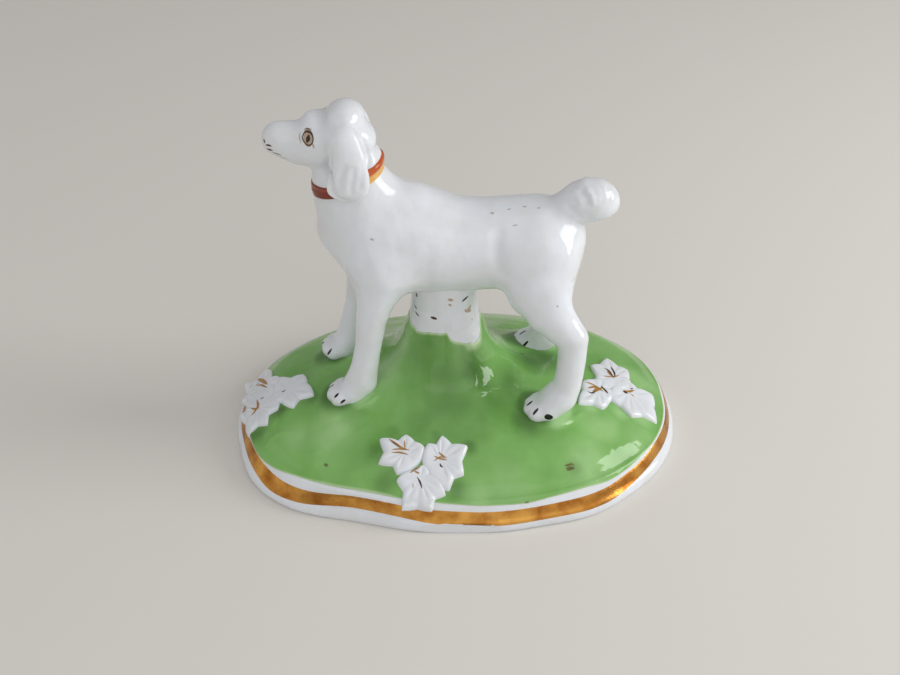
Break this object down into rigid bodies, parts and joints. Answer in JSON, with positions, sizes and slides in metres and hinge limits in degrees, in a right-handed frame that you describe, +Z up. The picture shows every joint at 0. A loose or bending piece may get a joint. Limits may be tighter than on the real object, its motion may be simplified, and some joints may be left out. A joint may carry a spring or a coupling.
{
  "type": "porcelain dog figurine",
  "caption": "Glazed porcelain dog standing on a hollow oval mound base, with drooping ears, a collar, a tufted tail, a stump under the belly and applied leaves.",
  "frame": {"origin": "middle of the base's outline, on the table it stands on", "axes": "+Z up, +X towards the tail, +Y towards the dog's right side; the dog looks along -X"},
  "size_m": [0.104, 0.0756, 0.0845],
  "materials": {
    "porcelain": "clear gloss glaze over white bone porcelain",
    "green_enamel": "glossy apple-green overglaze enamel",
    "gilding": "burnished gold fired on the glaze",
    "iron_red": "iron-red overglaze enamel with a little gilding"
  },
  "bodies": {
    "root": {"base_shell": "porcelain", "green_ground": "green_enamel", "gilt_band": "gilding", "stump": "porcelain", "torso_left_shell": "porcelain", "torso_right_shell": "porcelain", "head": "porcelain", "ear_left": "porcelain", "ear_right": "porcelain", "collar": "iron_red", "foreleg_left": "porcelain", "foreleg_right": "porcelain", "hindleg_left": "porcelain", "hindleg_right": "porcelain", "tail": "porcelain", "leaf_front_1": "porcelain", "leaf_front_2": "porcelain", "leaf_front_3": "porcelain", "leaf_left_1": "porcelain", "leaf_left_2": "porcelain", "leaf_left_3": "porcelain", "leaf_right_1": "porcelain", "leaf_right_2": "porcelain", "leaf_right_3": "porcelain"}
  },
  "joints": []
}
